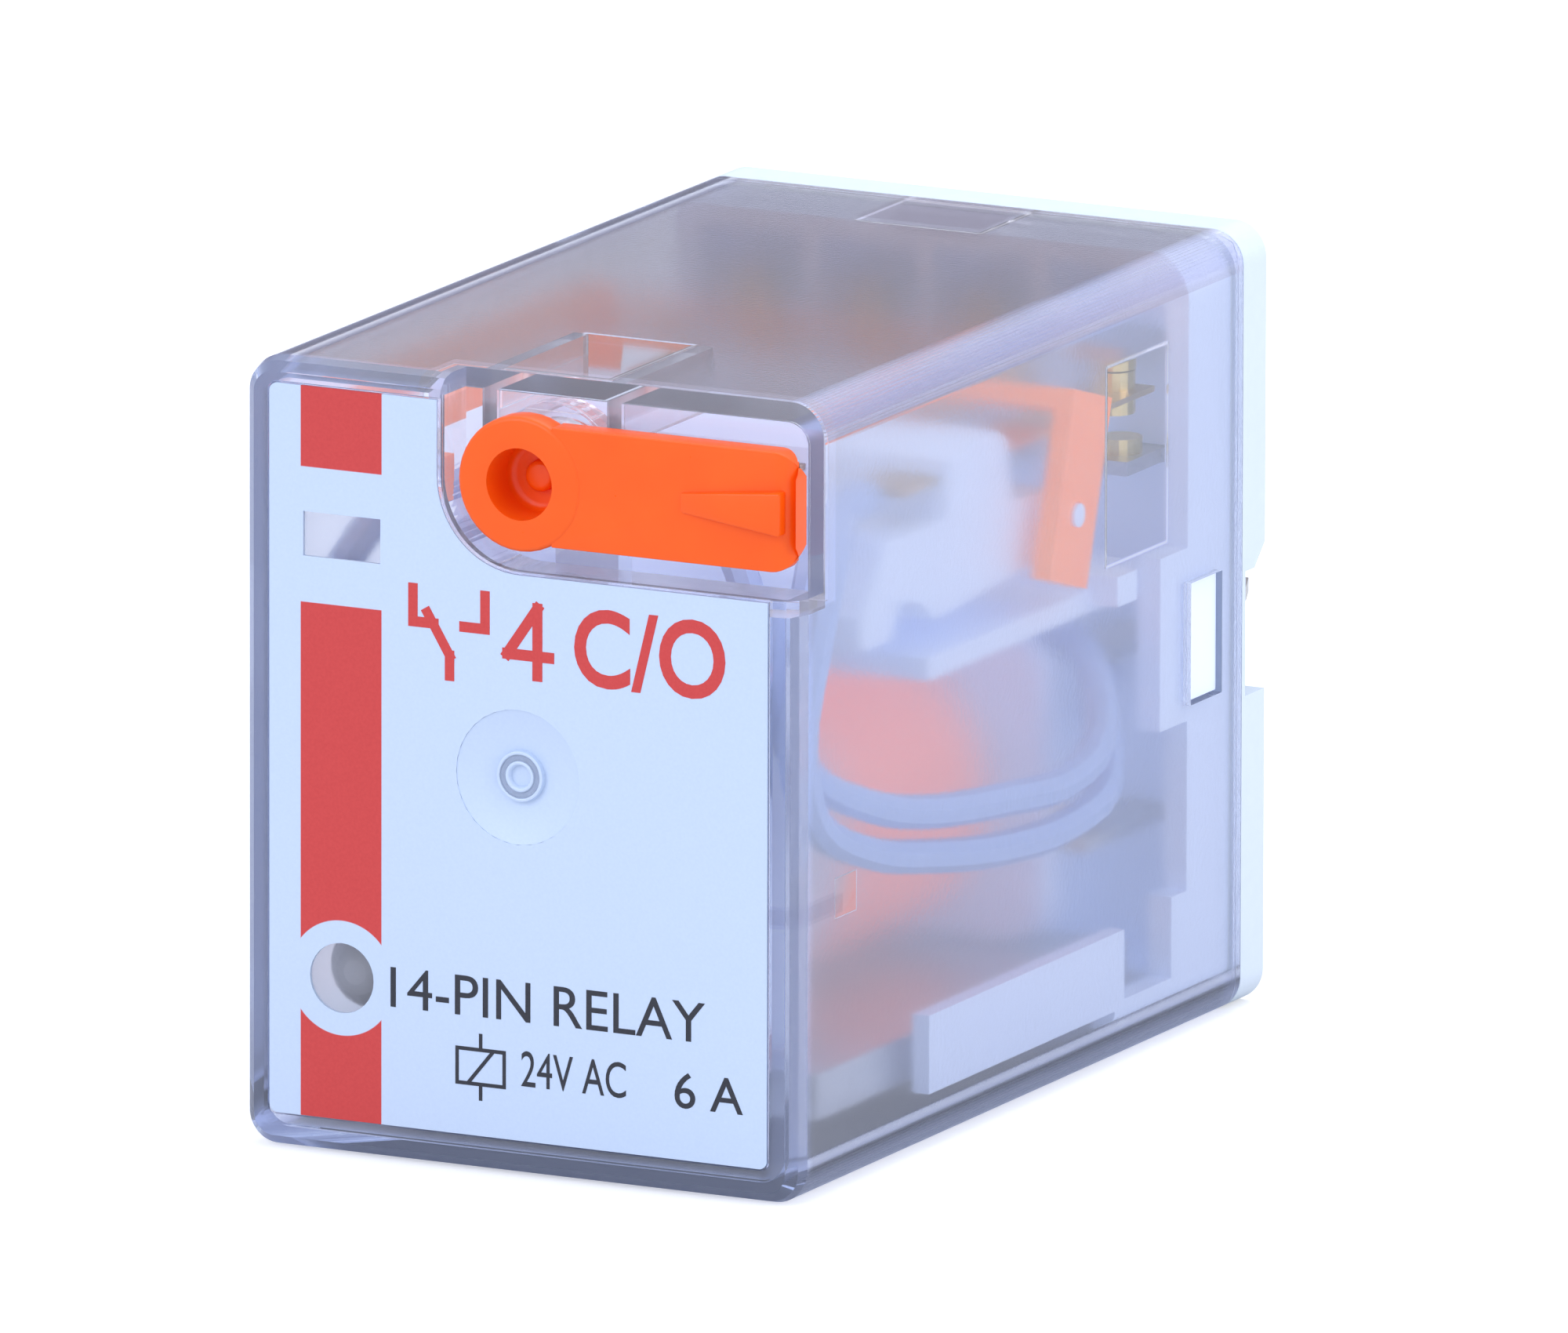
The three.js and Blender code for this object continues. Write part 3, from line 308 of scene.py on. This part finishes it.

# Orange mouldings. The test lever and its plunger are moulded in bright orange
# acetal, and the tilting indicator frame in a lighter, more translucent orange, which is given a
# faint glow, painted light.
orange = Finish("orange_acetal", Roughness=0.3, IOR=1.42)
flow = orange.place.noise(0.5, 3.0)
orange.set("Base Color", flow.blend((0.92, 0.095, 0.002), (0.96, 0.12, 0.004)))
orange.set("Roughness", orange.place.noise(5.0, 3.0) * 0.16 + 0.24)
orange.put_on("test_lever", "test_plunger")
# The frame glows faintly: painted light, since it is no lamp.
flag = Finish("flag_orange", Roughness=0.4, Emission_Strength=0.3)
gate = flag.place.noise(0.8, 3.0)
flag.set("Base Color", gate.blend((1.0, 0.2, 0.03), (1.0, 0.26, 0.05)))
flag.set("Emission Color", gate.blend((1.0, 0.26, 0.06), (1.0, 0.32, 0.1)))
flag.put_on("indicator")

# Test lever. One acetal moulding: a round hub with a blind bore in its face, a flat
# arm with a wedge-shaped thumb grip, and a hollow stem that turns in the cover.
# It is shaped in millimetres and brought down to metres when whole.
low, high = (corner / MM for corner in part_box("test_lever"))
HUB_X, HUB_Z, HUB_RADIUS = 0.05, 24.1, 2.35
ARM_WIDTH, ARM_THICK, ARM_CORNER = 4.15, 1.0, 0.9
BORE_RADIUS, BORE_DEPTH, STEM_RADIUS = 1.25, 1.75, 1.65
lever_face = low.y + 0.35


def add_round(name, radius, front, back, sides=64):
    bpy.ops.object.select_all(action="DESELECT")
    bpy.ops.mesh.primitive_cylinder_add(
        vertices=sides, radius=radius, depth=back - front,
        location=(HUB_X, (front + back) / 2, HUB_Z), rotation=(math.pi / 2, 0, 0),
    )
    bpy.context.object.name = name
    bpy.ops.object.transform_apply(location=True, rotation=True, scale=True)
    return bpy.context.object


def combine(piece, other, operation):
    """Joins or cuts one shape with another, which is then removed."""
    change = piece.modifiers.new("combine", "BOOLEAN")
    change.operation = operation
    change.object = other
    change.solver = "MANIFOLD"
    bpy.context.view_layer.objects.active = piece
    bpy.ops.object.modifier_apply(modifier=change.name)
    bpy.data.objects.remove(other)


def soften(piece, width, angle, segments=3):
    """Rounds every edge sharper than the angle."""
    rounding = piece.modifiers.new("rounding", "BEVEL")
    rounding.width = width
    rounding.segments = segments
    rounding.limit_method = "ANGLE"
    rounding.angle_limit = math.radians(angle)
    bpy.context.view_layer.objects.active = piece
    bpy.ops.object.modifier_apply(modifier=rounding.name)


hub = add_round("lever_hub", HUB_RADIUS, lever_face, lever_face + ARM_THICK, 40)
soften(hub, 0.17, 35)
bpy.ops.object.select_all(action="DESELECT")
arm_left, arm_right = HUB_X + 1.2, high.x
bpy.ops.mesh.primitive_cube_add(size=1)
arm = bpy.context.object
arm.dimensions = (arm_right - arm_left, ARM_THICK - 0.05, ARM_WIDTH)
arm.location = ((arm_left + arm_right) / 2, lever_face + (ARM_THICK + 0.05) / 2, HUB_Z)
bpy.ops.object.transform_apply(location=True, rotation=True, scale=True)
bpy.ops.object.mode_set(mode="EDIT")
bpy.ops.mesh.select_all(action="DESELECT")
bpy.ops.object.mode_set(mode="OBJECT")
for edge in arm.data.edges:
    ends = [arm.data.vertices[v].co for v in edge.vertices]
    edge.select = all(end.x > arm_right - 0.01 for end in ends) and abs(ends[0].y - ends[1].y) > 0.5
bpy.ops.object.mode_set(mode="EDIT")
bpy.ops.mesh.select_mode(type="EDGE")
bpy.ops.mesh.bevel(offset=ARM_CORNER, segments=8, affect="EDGES")
bpy.ops.object.mode_set(mode="OBJECT")
soften(arm, 0.17, 35)
lever = hub
combine(lever, arm, "UNION")
combine(lever, add_round("stem", STEM_RADIUS, lever_face + 0.5, high.y), "UNION")
bpy.ops.mesh.primitive_cube_add(size=1)
grip = bpy.context.object
grip_left, grip_right = arm_right - 4.3, arm_right - 0.42
grip.dimensions = (grip_right - grip_left, 0.6, 1.5)
grip.location = ((grip_left + grip_right) / 2, lever_face - 0.05, HUB_Z)
bpy.ops.object.transform_apply(location=True, rotation=True, scale=True)
bpy.ops.object.mode_set(mode="EDIT")
bpy.ops.mesh.select_mode(type="VERT")
bpy.ops.mesh.select_all(action="DESELECT")
bpy.ops.object.mode_set(mode="OBJECT")
for corner in grip.data.vertices:
    corner.select = corner.co.x < (grip_left + grip_right) / 2
bpy.ops.object.mode_set(mode="EDIT")
bpy.ops.transform.resize(value=(1, 1, 0.45), center_override=(0, 0, HUB_Z))
bpy.ops.transform.translate(value=(0, 0.3, 0))
bpy.ops.object.mode_set(mode="OBJECT")
soften(grip, 0.07, 30, 2)
combine(lever, grip, "UNION")
bore = add_round("bore", BORE_RADIUS, lever_face - 1, lever_face + BORE_DEPTH)
soften(bore, 0.3, 40, 4)
combine(lever, bore, "DIFFERENCE")
bore_floor = lever_face + BORE_DEPTH
boss = add_round("bore_floor_boss", 0.55, bore_floor - 0.35, bore_floor + 0.2, 32)
soften(boss, 0.2, 40, 3)
combine(lever, boss, "UNION")
lever.name = "lever_moulding"
bpy.ops.object.select_all(action="DESELECT")
lever.select_set(True)
bpy.context.view_layer.objects.active = lever
bpy.ops.object.mode_set(mode="EDIT")
bpy.ops.mesh.select_all(action="SELECT")
bpy.ops.mesh.remove_doubles(threshold=0.002)
bpy.ops.mesh.normals_make_consistent(inside=False)
bpy.ops.transform.resize(value=(MM, MM, MM), center_override=(0, 0, 0))
bpy.ops.object.mode_set(mode="OBJECT")
bpy.ops.object.shade_smooth_by_angle(angle=math.radians(32))
orange.put_on("lever_moulding")
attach(lever, "lever")
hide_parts("test_lever")

# Cover. A box of clear polycarbonate with a lavender tint. The mould is polished
# outside and at the windows, and spark-eroded to a fine frost elsewhere inside. Its
# edges, borders, frost and recess walls glow faintly, painted light for the light that runs along
# inside a wall, and its roof is painted darker, painted shade.
low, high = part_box("cover")
middle_z = (low.z + high.z) / 2 / MM
half_x, half_z = high.x / MM, (high.z - low.z) / 2 / MM
front_y = low.y / MM
clear = Finish("clear_polycarbonate", Transmission_Weight=0.95, IOR=1.5, Emission_Strength=1.0)
side_depth = half_x - clear.x.size()
face_depth = half_z - (clear.z - middle_z).size()
front_depth = clear.y - front_y
inner = side_depth.past(0.5) * face_depth.past(0.5) * front_depth.past(0.6)
recess = clear.x.past(-3.9) * clear.z.past(20.6) * (1 - front_depth.past(2.9))
right_wall, roof = clear.x.past(9.0), clear.z.past(26.0)
side_window = front_depth.between(23.9, 28.6, 0.1) * clear.z.between(17.6, 24.6, 0.1) * right_wall
rib_end = right_wall * front_depth.between(3.5, 5.1) * clear.z.between(9.4, 10.8)
top_window = roof * clear.x.between(-2.4, 2.4, 0.12) * front_depth.between(30.0, 33.8, 0.12)
top_pane = roof * clear.x.between(-2.2, 2.0, 0.12) * front_depth.between(3.0, 9.3, 0.12)
polish = side_window + rib_end + top_window + top_pane
frost = inner * (1 - recess) * (1 - polish)
border = inner * polish * (1 - polish) * 4
rib = right_wall * (1 - front_depth.past(3.5)) * clear.z.between(9.7, 10.35)
sand = clear.place.noise(5.0, 3.0, 0.6)
tint = frost.blend((0.94, 0.955, 1.0), (0.95, 0.965, 1.0))
# The roof's frost and top window are painted darker: painted shade over the roof.
tint = ((frost + top_window) * roof).blend(tint, (0.70, 0.66, 0.70))
clear.set("Base Color", (rib * 0.6).blend(tint, (0.66, 0.66, 0.76)))
clear.set("Roughness", frost * (sand * 0.08 + 0.13) + 0.03)
clear.bump(frost * (clear.place.noise(7.0, 2.0) * 0.1 + 1), 0.06, 0.5)
side_run, face_run = side_depth.past(1.0, 0.3), face_depth.past(1.0, 0.3)
front_run = front_depth.past(1.1, 0.3)
two_of_them = side_run * face_run + face_run * front_run + front_run * side_run
rim = 1 - (two_of_them - 2 * side_run * face_run * front_run)
glow = rim.blend((0.0, 0.0, 0.0), (0.062, 0.078, 0.145))
glow = (recess * 0.8).blend(glow, (0.07, 0.07, 0.10))
glow = (frost * clear.x.size().past(9.0)).blend(glow, (0.012, 0.018, 0.05))
clear.set("Emission Color", border.blend(glow, (0.35, 0.36, 0.42)))
clear.put_on("cover")

# Front label. A printed satin film set into the cover's shallow pocket, with
# openings for the indicator flag and the lamp, and a red stripe down its left.
low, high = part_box("front_label")
film = Finish("label_film", Roughness=0.35)
stripe = film.x.between(-8.3, -5.2) * (
    film.z.between(23.9, 26.75)
    + film.z.between(1.29, 19.2)
)
lamp_distance = film.place.node(
    "VectorMath", {"operation": "DISTANCE"}, {0: film.place, 1: (-6.72, low.y / MM, 6.24)}, 1
)
stripe = stripe * lamp_distance.past(2.0)
fibre = film.place.noise(9.0, 3.0)
white_ink = fibre.blend((0.52, 0.62, 0.80), (0.57, 0.67, 0.83))
red_ink = fibre.blend((0.55, 0.035, 0.035), (0.64, 0.055, 0.05))
film.set("Base Color", stripe.blend(white_ink, red_ink))
film.bump(fibre, 0.008, 0.35)
film.put_on("front_label")
label_face = low.y

# Dish in the label. The film is pressed into a shallow round dish with a small
# ringed boss at its middle, over the place where the cover's mould was filled.
DISH_RADIUS, DISH_RIM, DISH_DEPTH, DISH_Z = 2.34, 0.03, 0.34, 13.93
BOSS_STEPS = (
    (0.36, 0.30), (0.41, 0.14), (0.46, 0.11), (0.52, 0.12), (0.58, 0.20),
    (0.72, 0.20), (0.77, 0.13), (0.82, 0.115), (0.87, 0.14), (0.90, 0.32),
)
bowl_radii = [0.9 + (DISH_RADIUS - 0.9) * step / 8 for step in range(1, 9)]
bowl = [
    (around, DISH_RIM + DISH_DEPTH * (1 - around ** 2 / DISH_RADIUS ** 2)) for around in bowl_radii
]
bpy.ops.object.select_all(action="DESELECT")
bpy.ops.mesh.primitive_circle_add(
    vertices=96, radius=0.3 * MM, fill_type="NGON",
    location=(0, label_face + 0.3 * MM, DISH_Z * MM), rotation=(math.pi / 2, 0, 0),
)
dish = bpy.context.object
dish.name = "label_dish"
bpy.ops.object.transform_apply(location=True, rotation=True, scale=True)
bpy.ops.object.mode_set(mode="EDIT")
bpy.ops.mesh.select_mode(type="EDGE")
radius, depth = 0.3, 0.3
for next_radius, next_depth in [*BOSS_STEPS, *bowl, (DISH_RADIUS, DISH_RIM + 0.09)]:
    bpy.ops.mesh.select_all(action="SELECT")
    bpy.ops.mesh.region_to_loop()
    step = (0, (next_depth - depth) * MM, 0)
    bpy.ops.mesh.extrude_edges_move(TRANSFORM_OT_translate={"value": step})
    grow = next_radius / radius
    bpy.ops.transform.resize(value=(grow, 1, grow), center_override=(0, label_face, DISH_Z * MM))
    radius, depth = next_radius, next_depth
bpy.ops.mesh.select_all(action="SELECT")
bpy.ops.mesh.region_to_loop()
bpy.ops.mesh.extrude_edges_move(TRANSFORM_OT_translate={"value": (0, 0.28 * MM, 0)})
bpy.ops.transform.resize(value=(0.4, 1, 0.4), center_override=(0, label_face, DISH_Z * MM))
bpy.ops.mesh.edge_face_add()
bpy.ops.mesh.select_all(action="SELECT")
bpy.ops.mesh.normals_make_consistent(inside=False)
bpy.ops.object.mode_set(mode="OBJECT")
bpy.ops.object.shade_smooth_by_angle(angle=math.radians(50))
film.put_on("label_dish")
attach(dish, "housing")

# Printing. Red and black screen ink on the film: a plain change-over contact sign
# and pole count in red, then what the relay is, its coil sign and its ratings.
INK_THICKNESS = 0.012 * MM
red_print = Finish("red_ink", Roughness=0.4)
red_spots = red_print.place.noise(9.0, 3.0)
red_print.set("Base Color", red_spots.blend((0.55, 0.035, 0.035), (0.64, 0.055, 0.05)))
black_print = Finish("black_ink", Roughness=0.45)
black_spots = black_print.place.noise(12.0)
black_print.set("Base Color", black_spots.blend((0.012, 0.013, 0.02), (0.03, 0.032, 0.045)))


def print_words(name, words, left, bottom, width, height, weight, ink):
    """Sets words in a box of that width and height, laid on the film as thin ink."""
    bpy.ops.object.select_all(action="DESELECT")
    bpy.ops.object.text_add(location=(0, 0, 0), rotation=(math.pi / 2, 0, 0))
    words_piece = bpy.context.object
    words_piece.name = name
    words_piece.data.body = words
    words_piece.data.offset = weight
    words_piece.data.extrude = 0.5
    words_piece.data.resolution_u = 6
    bpy.ops.object.convert(target="MESH")
    bpy.ops.object.transform_apply(location=True, rotation=True, scale=True)
    corners = [vertex.co for vertex in words_piece.data.vertices]
    least = Vector([min(corner[axis] for corner in corners) for axis in range(3)])
    most = Vector([max(corner[axis] for corner in corners) for axis in range(3)])
    grow = (width * MM / (most.x - least.x), INK_THICKNESS, height * MM / (most.z - least.z))
    move = (left * MM - least.x, label_face - 0.2 * INK_THICKNESS, bottom * MM - least.z)
    bpy.ops.object.mode_set(mode="EDIT")
    bpy.ops.mesh.select_all(action="SELECT")
    bpy.ops.transform.resize(value=grow, center_override=(least.x, 0, least.z))
    bpy.ops.transform.translate(value=move)
    bpy.ops.object.mode_set(mode="OBJECT")
    ink.put_on(name)
    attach(words_piece, "housing")


print_words("print_poles", "C/O", 2.15, 17.35, 5.75, 2.75, 0.018, red_print)
print_words("print_kind", "14-PIN RELAY", -4.85, 5.45, 12.0, 1.4, 0, black_print)
print_words("print_coil_voltage", "24V AC", 0.15, 3.2, 4.0, 1.25, 0, black_print)
print_words("print_contact_rating", "6 A", 6.0, 3.1, 2.6, 1.25, 0.004, black_print)


def print_lines(name, lines, width, ink):
    """Draws straight ink lines of one width between points of the film's face, in millimetres."""
    sign = None
    for (x0, z0), (x1, z1) in lines:
        bpy.ops.object.select_all(action="DESELECT")
        bpy.ops.mesh.primitive_cube_add(size=1)
        bar = bpy.context.object
        bar.dimensions = (math.hypot(x1 - x0, z1 - z0) + width, INK_THICKNESS / MM, width)
        bar.rotation_euler = (0, -math.atan2(z1 - z0, x1 - x0), 0)
        bar.location = ((x0 + x1) / 2, label_face / MM - 0.3 * INK_THICKNESS / MM, (z0 + z1) / 2)
        bpy.ops.object.transform_apply(location=True, rotation=True, scale=True)
        if sign:
            combine(sign, bar, "UNION")
        else:
            sign = bar
    sign.name = name
    sign.select_set(True)
    bpy.context.view_layer.objects.active = sign
    bpy.ops.object.mode_set(mode="EDIT")
    bpy.ops.mesh.select_all(action="SELECT")
    bpy.ops.transform.resize(value=(MM, MM, MM), center_override=(0, 0, 0))
    bpy.ops.object.mode_set(mode="OBJECT")
    ink.put_on(name)
    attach(sign, "housing")


print_lines("print_coil_sign", [
    ((-2.3, 3.1), (-0.5, 3.1)), ((-0.5, 3.1), (-0.5, 4.3)),
    ((-0.5, 4.3), (-2.3, 4.3)), ((-2.3, 4.3), (-2.3, 3.1)),
    ((-1.85, 3.15), (-0.95, 4.25)), ((-1.4, 4.3), (-1.4, 4.8)), ((-1.4, 3.1), (-1.4, 2.6)),
], 0.13, black_print)
print_lines("print_pole_count", [
    ((0.75, 17.53), (0.75, 19.86)), ((0.75, 19.86), (-0.4, 18.2)), ((-0.4, 18.2), (1.2, 18.2)),
], 0.38, red_print)
print_lines("print_contact_sign", [
    ((-4.0, 20.1), (-4.0, 18.95)), ((-4.0, 18.95), (-3.2, 18.95)), ((-1.25, 20.1), (-1.25, 18.95)),
    ((-1.25, 18.95), (-2.05, 18.95)), ((-2.6, 17.2), (-2.6, 17.9)), ((-2.6, 17.9), (-3.45, 19.3)),
], 0.36, red_print)
